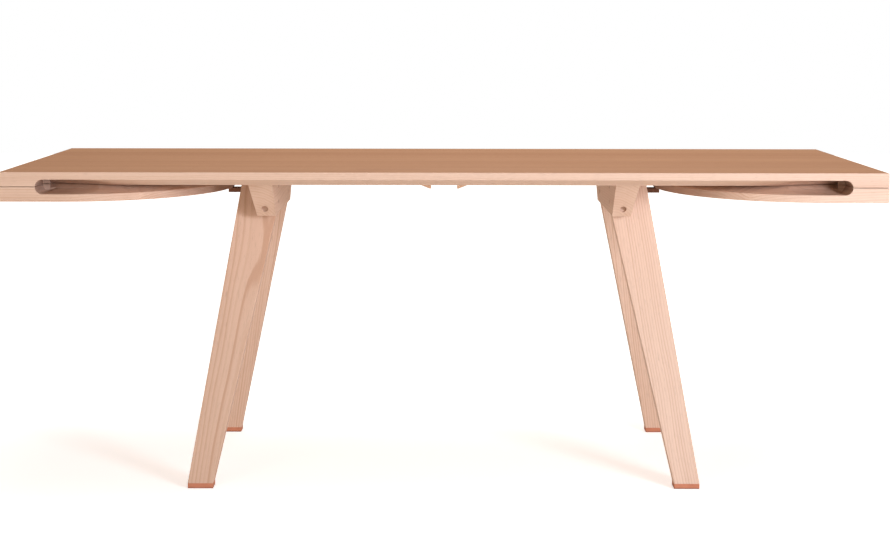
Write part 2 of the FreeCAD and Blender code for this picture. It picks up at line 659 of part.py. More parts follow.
def make_hinges():
    pins = []
    for name, side in SIDES.items():
        for position, hinge_y in HINGE_POSITIONS.items():
            make_hinge_plate(f"{name}_{position}_hinge_top_plate", side, hinge_y, 1)
            make_hinge_plate(f"{name}_{position}_hinge_leaf_plate", side, hinge_y, -1)
            start = (f"{side}*hinge_x", f"{hinge_y} - plate_long/2", "hinge_z")
            pins.append(primitive("Cylinder", "hinge_pin", start, "+Y",
                                  Radius="pin_radius", Height="plate_long"))
        hinge_screws(f"{name}_leaf_hinge_screws", [side], -1)
    group("hinge_pins", pins)
    hinge_screws("top_hinge_screws", list(SIDES.values()), 1)


# --- support bars -------------------------------------------------------------------------------------------

def make_bar(name, side, rank):
    """A dovetail bar flush in the top's groove, and the wedge under its inner end that fingers pull."""
    low = "underside + bar_gap"
    high = "underside + bar_gap + bar_thick"
    body = new_body(name + "_support_bar")
    outline = [(f"{rank}*bar_y - bar_low_half", low), (f"{rank}*bar_y + bar_low_half", low),
               (f"{rank}*bar_y + bar_top_half", high), (f"{rank}*bar_y - bar_top_half", high)]
    pad(body, "YZ", f"{side}*bar_inner", f"{side}*bar_outer", polygon, (outline,))
    keep(body, name + "_support_bar")
    grip = new_body(name + "_grip")
    wedge = [(f"{side}*bar_inner", low), (f"{side}*bar_inner", f"{low} - grip_high"),
             (f"{side}*(bar_inner + grip_edge)", f"{low} - grip_high"),
             (f"{side}*(bar_inner + grip_long)", low)]
    inset = "(bar_low_half - grip_inset)"
    pad(grip, "XZ", f"{rank}*bar_y - {inset}", f"{rank}*bar_y + {inset}", polygon, (wedge,))
    keep(grip, name + "_grip")


# --- catches ------------------------------------------------------------------------------------------------

def make_catch(name, side):
    """A magnet in a block under the top holds a steel disc in the tongue screwed under the leaf's tip."""
    middle = f"{side}*(catch_block_inner + catch_block_outer)/2"
    block = new_body(name + "_catch_block")
    pad(block, "XY", "catch_block_low", "underside", rectangle,
        (f"{side}*catch_block_inner", "-catch_half", f"{side}*catch_block_outer", "catch_half"))
    pocket(block, "XY", "catch_block_low", "catch_block_low + magnet_thick", circle,
           (middle, "0", "magnet_radius"))
    spots = block_screw_places(side)
    seat = "underside - block_screw_deep"
    pocket(block, "XY", "catch_block_low", seat, circle,
           *[(x, y, "screw_head + head_room") for x, y in spots])
    pocket(block, "XY", seat, "underside", circle, *[(x, y, "screw_radius") for x, y in spots])
    keep(block, name + "_catch_block")
    tongue = new_body(name + "_catch_tongue")
    pad(tongue, "XY", "tongue_low", "tongue_top", rectangle,
        (f"{side}*tongue_inner", "-catch_half", f"{side}*tongue_outer", "catch_half"))
    pad(tongue, "XY", "tongue_top", "underside - board_gap - board_thick", rectangle,
        (f"{side}*(hinge_x - leaf_length + riser_inset)", "-catch_half",
         f"{side}*tongue_outer", "catch_half"))
    pocket(tongue, "XY", "tongue_top", "tongue_top - disc_thick", circle, (middle, "0", "magnet_radius"))
    places = tongue_screw_places(side)
    pocket(tongue, "XY", "tongue_low", "tongue_screw_seat", circle,
           *[(x, y, "screw_head + head_room") for x, y in places])
    pocket(tongue, "XY", "tongue_screw_seat", "underside - board_gap - board_thick", circle,
           *[(x, y, "screw_radius") for x, y in places])
    keep(tongue, name + "_catch_tongue")
    disc = primitive("Cylinder", name + "_keeper_disc", (middle, "0", "tongue_top - disc_thick"), "+Z",
                     Radius="magnet_radius - running_fit", Height="disc_thick")
    keep(disc, name + "_keeper_disc")
    group(name + "_tongue_screws",
          [stepped_bolt(name + "_tongue_screw", (x, y, "tongue_screw_seat"), "+Z", "screw_head", "cap_high",
                        "screw_radius", "tongue_screw_long") for x, y in places])
    magnet = primitive("Cylinder", name + "_magnet", (middle, "0", "catch_block_low"), "+Z",
                       Radius="magnet_radius - running_fit", Height="magnet_thick")
    screws = [stepped_bolt(name + "_block_screw", (x, y, seat), "+Z", "screw_head", "cap_high",
                           "screw_radius", "block_screw_long") for x, y in spots]
    return magnet, screws


# --- fasteners of the trestles ------------------------------------------------------------------------------

def make_trestle_fasteners():
    plugs = []
    inserts = []
    nuts = []
    for name, side in SIDES.items():
        top_bolts = []
        for x, y in top_bolt_places(side):
            top_bolts.append(stepped_bolt(name + "_top_bolt", (x, y, "top_bolt_head"), "+Z", "head_radius",
                                          "head_high", "bolt_radius",
                                          "underside + insert_long - insert_sink - top_bolt_head"))
            ring = primitive("Cylinder", "insert_ring", (x, y, "underside + insert_sink"), "+Z",
                             Radius="insert_radius - running_fit", Height="insert_long")
            bore = primitive("Cylinder", "insert_bore", (x, y, "underside"), "+Z",
                             Radius="bolt_radius + running_fit", Height="insert_long + overrun")
            insert = doc.addObject("Part::Cut", "insert")
            insert.Base = ring
            insert.Tool = bore
            inserts.append(insert)
        group(name + "_beam_bolts", top_bolts)
        leg_bolts = []
        axis = "+X" if side > 0 else "-X"
        for rank in RANKS.values():
            for height in ("side_bolt_low", "side_bolt_high"):
                middle = leg_middle(rank, height)
                leg_bolts.append(stepped_bolt(name + "_leg_bolt",
                                              (f"{side}*(beam_inner + side_head_deep)", middle, height), axis,
                                              "side_head_radius", "side_head_high", "side_bolt_radius",
                                              "nut_x + past_nut - beam_inner - side_head_deep"))
                dowel = primitive("Cylinder", "dowel", (f"{side}*nut_x", f"{middle} - nut_long/2", height),
                                  "+Y", Radius="nut_radius - running_fit", Height="nut_long")
                bore = primitive("Cylinder", "dowel_bore", (f"{side}*(nut_x - nut_radius*2)", middle, height),
                                 axis, Radius="side_bolt_radius + running_fit", Height="nut_radius*4")
                nut = doc.addObject("Part::Cut", "cross_dowel")
                nut.Base = dowel
                nut.Tool = bore
                nuts.append(nut)
            plugs.append(primitive("Cylinder", "plug",
                                   (f"{side}*plug_x", f"{rank}*plug_face", "plug_z"),
                                   "-Y" if rank > 0 else "+Y",
                                   Radius="plug_radius - running_fit", Height="plug_long"))
        group(name + "_leg_bolts", leg_bolts)
    group("beam_plugs", plugs)
    group("top_inserts", inserts)
    group("leg_cross_dowels", nuts)


def make_foot_screws():
    screws = []
    for side in SIDES.values():
        for rank in RANKS.values():
            screws += [wood_screw("foot_screw", (x, y, "foot_screw_seat"), "+Z", "foot_screw_long")
                       for x, y in foot_screw_places(side, rank)]
    group("foot_screws", screws)


# --- the table ----------------------------------------------------------------------------------------------

make_top()
magnets = []
block_screws = []
for name, side in SIDES.items():
    make_leaf(name + "_leaf", side)
    make_beam(name + "_beam", side)
    for rank_name, rank in RANKS.items():
        make_leg(f"{rank_name}_{name}_leg", side, rank)
        make_foot(f"{rank_name}_{name}_foot", side, rank)
        make_bar(f"{rank_name}_{name}", side, rank)
    magnet, screws = make_catch(name, side)
    magnets.append(magnet)
    block_screws += screws
group("catch_magnets", magnets)
group("catch_block_screws", block_screws)
make_hinges()
make_trestle_fasteners()
make_foot_screws()
doc.recompute()


# --- checks and files ---------------------------------------------------------------------------------------

def check(thing):
    faults = [state for state in thing.State if state in ("Invalid", "Error")]
    if faults:
        raise RuntimeError(f"{thing.Label} is {faults}")


for thing in doc.Objects:
    check(thing)
    if thing.TypeId == "PartDesign::Pocket" and thing.BaseFeature is not None:
        removed = thing.BaseFeature.Shape.Volume - thing.Shape.Volume
        if removed < 1:
            raise RuntimeError(f"{thing.Label} cut nothing")

os.makedirs("parts", exist_ok=True)
for node in nodes:
    if node.Shape.isNull() or not node.Shape.isValid() or not node.Shape.Solids:
        raise RuntimeError(f"{node.Label} has no valid shape")
    node.Shape.exportStep(f"parts/{node.Label}.step")
print(f"{len(nodes)} pieces written")
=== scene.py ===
# %% [markdown]
# # A drop leaf table, finished in Blender
#
# The table is a long board on two trestles. A D-shaped leaf is hinged under each end of the board. It lies
# folded away under the board until it is swung out, and then two sliding bars carry it.
#
# The shapes that have to fit and move come from the frame: a solid model with one mesh for each wooden piece.
# This lesson gives those pieces their timber, makes the screws and bolts in full detail, and lights the table
# in a plain pale studio.

# %% Load the frame
import math

import bpy
from mathutils import Matrix, Vector


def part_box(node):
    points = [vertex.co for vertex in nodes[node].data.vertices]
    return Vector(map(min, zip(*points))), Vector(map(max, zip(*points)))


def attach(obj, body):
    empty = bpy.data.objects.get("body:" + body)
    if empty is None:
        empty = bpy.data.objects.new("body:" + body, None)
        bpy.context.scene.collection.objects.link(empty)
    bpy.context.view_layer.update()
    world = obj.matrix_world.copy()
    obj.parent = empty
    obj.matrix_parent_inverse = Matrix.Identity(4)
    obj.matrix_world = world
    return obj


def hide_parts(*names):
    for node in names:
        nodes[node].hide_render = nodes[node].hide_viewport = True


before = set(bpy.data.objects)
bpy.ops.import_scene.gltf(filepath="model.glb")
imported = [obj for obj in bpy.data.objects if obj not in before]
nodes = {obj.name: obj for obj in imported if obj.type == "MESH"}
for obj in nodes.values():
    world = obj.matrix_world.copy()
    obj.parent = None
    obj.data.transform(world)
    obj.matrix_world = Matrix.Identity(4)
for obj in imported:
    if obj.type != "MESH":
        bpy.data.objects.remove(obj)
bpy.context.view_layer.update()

# %% [markdown]
# ## Measuring the frame
#
# No piece is placed by eye. Its size and place come from its mesh in the frame, so the finish follows the
# piece if the design changes. Screws share one mesh, so a helper takes it apart into its separate solids:
# it joins corners that coincide, then puts the corners of every face in one set. Sets that share a corner
# become one, and each set that is left is a solid.

# %% Helpers that measure pieces
MICROMETRES = 6


def middle(lowest, highest):
    """The point halfway between two corners."""
    return (Vector(lowest) + Vector(highest)) / 2


def separate_solids(node):
    """The corner points of each separate solid in a node of the frame, solid by solid."""
    mesh = nodes[node].data
    corner_of = {}
    places = []
    same = []
    for vertex in mesh.vertices:
        key = tuple(round(number, MICROMETRES) for number in vertex.co)
        if key not in corner_of:
            corner_of[key] = len(places)
            places.append(vertex.co.copy())
        same.append(corner_of[key])
    owner = list(range(len(places)))

    def root(corner):
        while owner[corner] != corner:
            owner[corner] = owner[owner[corner]]
            corner = owner[corner]
        return corner

    for face in mesh.polygons:
        corners = [root(same[index]) for index in face.vertices]
        for corner in corners[1:]:
            owner[root(corner)] = root(corners[0])
    solids = {}
    for corner, place in enumerate(places):
        solids.setdefault(root(corner), []).append(place)
    return [solids[key] for key in sorted(solids)]


def box_of(points):
    """The lowest and highest corners of some points."""
    lowest = Vector([min(point[axis] for point in points) for axis in range(3)])
    highest = Vector([max(point[axis] for point in points) for axis in range(3)])
    return lowest, highest


top_low, top_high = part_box("table_top")
table_height = top_high.z
table_length = top_high.x - top_low.x
print(f"the top is {table_length:.3f} m long and stands {table_height:.3f} m high")

# %% [markdown]
# ## The camera
#
# A table is drawn best from a little above its top, some five metres away, with a long lens: the legs then
# keep their lean and the top shows as a thin slanted plane. The camera looks down only a little. The picture
# is shifted instead, as with a view camera, so that upright lines stay nearly upright.

# %% Camera
SENSOR_WIDTH = 36
picture_width = 890
camera_place = Vector((-0.0035, -4.9944, 1.0659))
looking_down = 0.06167
turned_left = -0.00117
rolled = 0.00162
lens_width = 2031.6
shift_up = -120

view_data = bpy.data.cameras.new("studio_camera")
view_data.sensor_width = SENSOR_WIDTH
view_data.lens = lens_width * SENSOR_WIDTH / picture_width
view_data.shift_y = shift_up / picture_width
view_data.clip_end = 100
camera = bpy.data.objects.new("studio_camera", view_data)
bpy.context.scene.collection.objects.link(camera)
camera.matrix_world = (
    Matrix.Translation(camera_place)
    @ Matrix.Rotation(turned_left, 4, "Z")
    @ Matrix.Rotation(math.pi / 2 - looking_down, 4, "X")
    @ Matrix.Rotation(rolled, 4, "Z")
)
bpy.context.scene.camera = camera
print(f"the lens is {view_data.lens:.1f} mm")

# %% [markdown]
# ## Building node trees in a script
#
# A material or a Geometry Nodes tree is a list of nodes and the links between them. One helper adds a node,
# sets its options and fills its inputs. An input is either a plain value or another node's output, and then
# the helper makes the link. Each new node is laid out a step to the right, so the trees can be read in the
# editor too.

# %% Helpers for node trees
COLUMN = 200
ROW = 260
ROWS = 5


def add(tree, kind, inputs=None, **options):
    """Adds a node to a tree. inputs maps a socket's name or number to a value or to another node's output."""
    node = tree.nodes.new(kind)
    count = len(tree.nodes) - 1
    node.location = (count // ROWS * COLUMN, -(count % ROWS) * ROW)
    for option, value in options.items():
        setattr(node, option, value)
    for socket, value in (inputs or {}).items():
        if isinstance(value, bpy.types.NodeSocket):
            tree.links.new(value, node.inputs[socket])
        else:
            node.inputs[socket].default_value = value
    return node


def calc(tree, operation, first, second=0.0, third=0.0, clamp=False):
    """One sum, as the output of a Math node."""
    return add(
        tree, "ShaderNodeMath", {0: first, 1: second, 2: third}, operation=operation, use_clamp=clamp
    ).outputs[0]


def remap(tree, value, from_low, from_high, to_low=0.0, to_high=1.0):
    """A value moved smoothly from one range to another, and kept within it."""
    return add(
        tree,
        "ShaderNodeMapRange",
        {"Value": value, 1: from_low, 2: from_high, 3: to_low, 4: to_high},
        interpolation_type="SMOOTHSTEP",
    ).outputs[0]


def mix_colour(tree, share, first, second, blend="MIX"):
    """Two colours mixed by a share from 0 to 1."""
    node = add(tree, "ShaderNodeMix", data_type="RGBA", blend_type=blend)
    for socket, value in ((0, share), (6, first), (7, second)):
        if isinstance(value, bpy.types.NodeSocket):
            tree.links.new(value, node.inputs[socket])
        else:
            node.inputs[socket].default_value = value
    return node.outputs[2]


def new_group(name, kind, inputs, outputs):
    """An empty node group with named sockets, and its input and output nodes."""
    tree = bpy.data.node_groups.new(name, kind)
    for in_out, sockets in (("INPUT", inputs), ("OUTPUT", outputs)):
        for socket_name, socket_kind in sockets:
            tree.interface.new_socket(name=socket_name, in_out=in_out, socket_type="NodeSocket" + socket_kind)
    return tree, add(tree, "NodeGroupInput"), add(tree, "NodeGroupOutput")


def use_group(tree, group, inputs):
    """A node group placed in a material's tree, with its own values."""
    node = add(tree, "ShaderNodeGroup", node_tree=group)
    for name, value in inputs.items():
        if isinstance(value, bpy.types.NodeSocket):
            tree.links.new(value, node.inputs[name])
        else:
            node.inputs[name].default_value = value
    return node


def colour(red, green, blue):
    """A colour read off a swatch in the usual 0 to 255 numbers, as the linear numbers that shaders use."""
    shares = [number / 255 for number in (red, green, blue)]
    return tuple(s / 12.92 if s <= 0.04045 else ((s + 0.055) / 1.055) ** 2.4 for s in shares) + (1.0,)


print("node helpers are ready")

# %% [markdown]
# ## Studio
#
# The table stands on a pale seamless floor. A large soft light stands in front and to the right: it brightens
# the right-hand end of the edges and leaves shade on the left side of each leg's head. A weaker one fills in
# from the left, and one hangs over the top. The backdrop and the floor are white to the eye, but they give
# the table less light than that, and a warmer one, as a wooden room would. So the timber keeps its colour
# and its shaded sides stay in warm shade. The floor can be seen through from below, to show the underside.

# %% Floor, backdrop and lights
FLOOR_SIZE = 24.0
FLOOR_DROP = 0.0002
WHITE = (1.0, 1.0, 1.0, 1.0)
WARM_BOUNCE = (1.0, 0.89, 0.77, 1.0)
COOL_KEY = (0.95, 1.01, 1.16)
WARM_FILL = (1.0, 0.92, 0.8)

floor_mesh = bpy.data.meshes.new("studio_floor")
half_floor = FLOOR_SIZE / 2
corners = [(-1, -1), (1, -1), (1, 1), (-1, 1)]
floor_corners = [(x * half_floor, y * half_floor, -FLOOR_DROP) for x, y in corners]
floor_mesh.from_pydata(floor_corners, [], [(0, 1, 2, 3)])
floor = bpy.data.objects.new("studio_floor", floor_mesh)
bpy.context.scene.collection.objects.link(floor)

floor_paper = bpy.data.materials.new("floor_paper")
floor_paper.use_nodes = True
paper_tree = floor_paper.node_tree
paper = paper_tree.nodes["Principled BSDF"]
paper_spots = add(paper_tree, "ShaderNodeTexNoise", {"Scale": 0.8, "Detail": 2.0})
paper_tone = mix_colour(paper_tree, paper_spots.outputs[0], colour(250, 248, 244), colour(255, 254, 252))
paper_tree.links.new(paper_tone, paper.inputs["Base Color"])
paper.inputs["Roughness"].default_value = 0.9
paper.inputs["Specular IOR Level"].default_value = 0.0
SEEN_GLOW = 0.58
FAR_GLOW = 0.5
FAR_FROM, FAR_TO = 1.4, 4.5
GLOW_ON_TABLE = 0.2
floor_spot = add(paper_tree, "ShaderNodeTexCoord").outputs["Object"]
from_middle = add(paper_tree, "ShaderNodeVectorMath", {0: floor_spot}, operation="LENGTH").outputs["Value"]
far = remap(paper_tree, from_middle, FAR_FROM, FAR_TO, 0.0, FAR_GLOW)
seen_directly = add(paper_tree, "ShaderNodeLightPath").outputs["Is Camera Ray"]
glow_tint = mix_colour(paper_tree, seen_directly, WARM_BOUNCE, WHITE)
paper_tree.links.new(glow_tint, paper.inputs["Emission Color"])
extra = calc(paper_tree, "ADD", far, SEEN_GLOW - GLOW_ON_TABLE)
glow = calc(paper_tree, "MULTIPLY_ADD", seen_directly, extra, GLOW_ON_TABLE)
paper_tree.links.new(glow, paper.inputs["Emission Strength"])
from_below = add(paper_tree, "ShaderNodeNewGeometry").outputs["Backfacing"]
paper_tree.links.new(calc(paper_tree, "SUBTRACT", 1.0, from_below), paper.inputs["Alpha"])
floor_mesh.materials.append(floor_paper)

backdrop = bpy.data.worlds.new("white_backdrop")
bpy.context.scene.world = backdrop
backdrop.use_nodes = True
sky_tree = backdrop.node_tree
seen = add(sky_tree, "ShaderNodeLightPath").outputs["Is Camera Ray"]
sky = sky_tree.nodes["Background"]
sky_tree.links.new(mix_colour(sky_tree, seen, WARM_BOUNCE, WHITE), sky.inputs["Color"])
SKY_LIGHT = 0.3
sky_tree.links.new(calc(sky_tree, "MULTIPLY_ADD", seen, 1.0 - SKY_LIGHT, SKY_LIGHT), sky.inputs["Strength"])


AIMED_AT = Vector((0, 0, table_height * 0.7))


def soft_light(name, place, size, power, tint=(1.0, 1.0, 1.0)):
    """A square soft box that faces the middle of the table."""
    data = bpy.data.lights.new(name, "AREA")
    data.size = size
    data.energy = power
    data.color = tint
    lamp = bpy.data.objects.new(name, data)
    lamp.location = place
    lamp.rotation_euler = (AIMED_AT - Vector(place)).to_track_quat("-Z", "Y").to_euler()
    bpy.context.scene.collection.objects.link(lamp)
    return lamp


soft_light("key_light", (2.5, -4.0, 1.3), 1.1, 138, COOL_KEY)
soft_light("fill_light", (-2.2, -4.4, 1.5), 2.2, 32, WARM_FILL)
soft_light("top_light", (0.3, 0.4, 3.4), 2.6, 62)
bpy.context.scene.view_settings.view_transform = "Standard"
print("the studio has", len(bpy.data.lights), "soft lights")

# %% [markdown]
# ## Solid timber
#
# A board is a slice out of a trunk, so its pattern isn't painted on: it runs right through. The group below
# imagines the trunk. Growth rings are tubes around the heart of the tree, spaced a few millimetres apart, and
# they wander a little along its length. Where a board's face slices them, they come out as long lines and
# pointed arches. Where its end slices them, they come out as arcs. All of this follows from one rule, with no
# picture of wood.
#
# The vector that comes in has been turned so that X runs along the grain. A wide top is glued up from staves,
# each from its own part of the tree, so the group gives each stave its own heart, tone and start.

# %% Node group: growth rings, fibres and pores
TIMBER_INPUTS = [
    ("Along Grain", "Vector"),
    ("Facing", "Vector"),
    ("Cut", "Float"),
    ("Ring Width", "Float"),
    ("Heart Distance", "Float"),
    ("Stave Width", "Float"),
]
TIMBER_OUTPUTS = [
    ("Late Wood", "Float"),
    ("Streak", "Float"),
    ("Stave Tone", "Float"),
    ("Pores", "Float"),
    ("Knots", "Float"),
    ("End Grain", "Float"),
    ("Relief", "Float"),
]


SEASONS = [(0.08, 0.0), (0.55, 0.16), (0.88, 1.0)]
TURN_OF_YEAR = 0.3
RARE_KNOT = 0.72


def stretched(tree, x, y, z, along, across):
    """A place in the trunk, scaled to make a pattern that is long in the grain and fine across it."""
    scaled = {
        0: calc(tree, "MULTIPLY", x, along),
        1: calc(tree, "MULTIPLY", y, across),
        2: calc(tree, "MULTIPLY", z, across),
    }
    return add(tree, "ShaderNodeCombineXYZ", scaled).outputs[0]


def noise(tree, vector, detail=2.0, roughness=0.55, output=0):
    """A noise pattern at a place that is already scaled."""
    return add(
        tree, "ShaderNodeTexNoise", {"Vector": vector, "Scale": 1.0, "Detail": detail, "Roughness": roughness}
    ).outputs[output]


def make_timber_group():
    """The group that works out the pattern of solid timber at any point of a board."""
    tree, given, result = new_group("solid_timber", "ShaderNodeTree", TIMBER_INPUTS, TIMBER_OUTPUTS)
    place = add(tree, "ShaderNodeSeparateXYZ", {0: given.outputs["Along Grain"]}).outputs
    stave_width = given.outputs["Stave Width"]
    stave = calc(tree, "FLOOR", calc(tree, "ADD", calc(tree, "DIVIDE", place[1], stave_width), 0.5))
    stave_key = add(tree, "ShaderNodeCombineXYZ", {0: stave, 1: given.outputs["Cut"]}).outputs[0]
    chance = add(tree, "ShaderNodeTexWhiteNoise", {"Vector": stave_key}, noise_dimensions="3D")
    lot = add(tree, "ShaderNodeSeparateColor", {0: chance.outputs["Color"]}).outputs

    start = calc(tree, "MULTIPLY_ADD", lot[2], 7.0, calc(tree, "MULTIPLY", given.outputs["Cut"], 3.7))
    x = calc(tree, "ADD", place[0], start)
    y = calc(tree, "SUBTRACT", place[1], calc(tree, "MULTIPLY", stave, stave_width))
    z = place[2]

    wander = noise(tree, stretched(tree, x, y, z, 1.1, 3.5), output=1)
    bend = add(tree, "ShaderNodeVectorMath", {0: wander, 1: (0.5, 0.5, 0.5)}, operation="SUBTRACT").outputs[0]
    bend = add(tree, "ShaderNodeSeparateXYZ", {0: bend}).outputs
    heart_y = calc(tree, "MULTIPLY_ADD", lot[0], 0.14, -0.07)
    heart_z = calc(tree, "MULTIPLY", given.outputs["Heart Distance"], calc(tree, "ADD", lot[1], 0.6))
    ring_y = calc(tree, "MULTIPLY_ADD", bend[1], 0.05, calc(tree, "SUBTRACT", y, heart_y))
    ring_z = calc(tree, "MULTIPLY_ADD", bend[2], 0.05, calc(tree, "ADD", z, heart_z))
    spoke = add(tree, "ShaderNodeCombineXYZ", {1: ring_y, 2: ring_z}).outputs[0]
    from_heart = add(tree, "ShaderNodeVectorMath", {0: spoke}, operation="LENGTH").outputs["Value"]
    waver = noise(tree, stretched(tree, x, y, z, 5.0, 60.0))
    even_ring = calc(tree, "DIVIDE", from_heart, given.outputs["Ring Width"])
    ring = calc(tree, "MULTIPLY_ADD", waver, 0.55, even_ring)
    year = calc(tree, "FLOOR", ring)
    season = add(tree, "ShaderNodeValToRGB", {0: calc(tree, "FRACT", ring)})
    for position, shade in SEASONS:
        stop = season.color_ramp.elements.new(position)
        stop.color = (shade, shade, shade, 1)
    for end in (0, -1):
        season.color_ramp.elements[end].color = (TURN_OF_YEAR, TURN_OF_YEAR, TURN_OF_YEAR, 1)
    good_year = add(tree, "ShaderNodeTexWhiteNoise", {"W": year}, noise_dimensions="1D").outputs["Value"]
    late = calc(tree, "MULTIPLY", season.outputs[0], calc(tree, "MULTIPLY_ADD", good_year, 0.75, 0.25))

    streak = noise(tree, stretched(tree, x, y, z, 0.55, 17.0), detail=3.0, roughness=0.6)
    fibre = noise(tree, stretched(tree, x, y, z, 9.0, 620.0))
    pore_field = noise(tree, stretched(tree, x, y, z, 42.0, 1500.0), detail=1.0)
    open_pores = remap(tree, pore_field, 0.6, 0.72)
    pores = calc(tree, "MULTIPLY", open_pores, calc(tree, "SUBTRACT", 1.0, calc(tree, "MULTIPLY", late, 0.7)))

    knot_places = stretched(tree, x, y, z, 2.2, 5.5)
    knot_field = add(tree, "ShaderNodeTexVoronoi", {"Vector": knot_places, "Scale": 1.0}, feature="F1")
    rare = add(tree, "ShaderNodeSeparateColor", {0: knot_field.outputs["Color"]}).outputs[0]
    knot_core = remap(tree, knot_field.outputs["Distance"], 0.045, 0.012)
    knots = calc(tree, "MULTIPLY", knot_core, calc(tree, "GREATER_THAN", rare, RARE_KNOT))

    facing_x = add(tree, "ShaderNodeSeparateXYZ", {0: given.outputs["Facing"]}).outputs[0]
    end_grain = remap(tree, calc(tree, "ABSOLUTE", facing_x), 0.55, 0.95)
    relief = calc(tree, "MULTIPLY_ADD", fibre, 0.35, calc(tree, "MULTIPLY", late, 0.35))
    relief = calc(tree, "SUBTRACT", relief, calc(tree, "MULTIPLY", pores, 0.5))

    found = (late, streak, chance.outputs["Value"], pores, knots, end_grain, relief)
    for (name, _), value in zip(TIMBER_OUTPUTS, found):
        tree.links.new(value, result.inputs[name])
    return tree


timber_group = make_timber_group()
print("solid_timber has", len(timber_group.nodes), "nodes")

# %% [markdown]
# ## Worn edges
#
# Hands and cloths soften a table's edges first. The oil wears thin there and the timber looks a shade paler
# and smoother. The Bevel node looks at the surface a millimetre around each point. Where the answer differs
# from the surface's own direction, there is an edge. The same node rounds the light on that edge.

# %% Node group: edge wear
def make_wear_group():
    """The group that finds edges, and breaks the finding up so that wear isn't even."""
    inputs = [("Reach", "Float"), ("Place", "Vector")]
    outputs = [("Wear", "Float"), ("Soft Edge", "Vector")]
    tree, given, result = new_group("edge_wear", "ShaderNodeTree", inputs, outputs)
    soft = add(tree, "ShaderNodeBevel", {"Radius": given.outputs["Reach"]}, samples=4)
    flat = add(tree, "ShaderNodeNewGeometry").outputs["Normal"]
    agreement = add(
        tree, "ShaderNodeVectorMath", {0: soft.outputs[0], 1: flat}, operation="DOT_PRODUCT"
    ).outputs["Value"]
    edge = remap(tree, agreement, 0.995, 0.85)
    spots = {"Vector": given.outputs["Place"], "Scale": 26.0, "Detail": 3.0}
    patches = add(tree, "ShaderNodeTexNoise", spots)
    wear = calc(tree, "MULTIPLY", edge, remap(tree, patches.outputs[0], 0.35, 0.65))
    tree.links.new(wear, result.inputs["Wear"])
    tree.links.new(soft.outputs[0], result.inputs["Soft Edge"])
    return tree


wear_group = make_wear_group()
print("edge_wear has", len(wear_group.nodes), "nodes")

# %% [markdown]
# ## An oiled wood finish
#
# The table is a pale, straight-grained timber under a matt oil. One function mixes the finish from the
# patterns above. It is called once for each piece with its own place in the trunk, because no two pieces of a
# real table are cut from the same spot. The function can also darken the faces that look up, or those that
# look down, to a deeper amber: this is painted shade, for faces that get less light than the front edges.

# %% The wood finish
OIL_SHEEN = 0.4
RING_DEPTH = 0.42
BAND_DEPTH = 0.9
STAVE_DEPTH = 0.5
PORE_SHADE = 0.3
KNOT_SHADE = 0.75
WEAR_SHARE = 0.35
PALER = 1.12
# Painted shade: the amber that darkens faces by which way they look.
PAINTED_SHADE_AMBER = colour(227, 195, 164)
# End grain colour, deepened and greyed partly as painted shade for the beam ends that face down under the top.
END_GRAIN_AND_SHADE = colour(226, 227, 232)


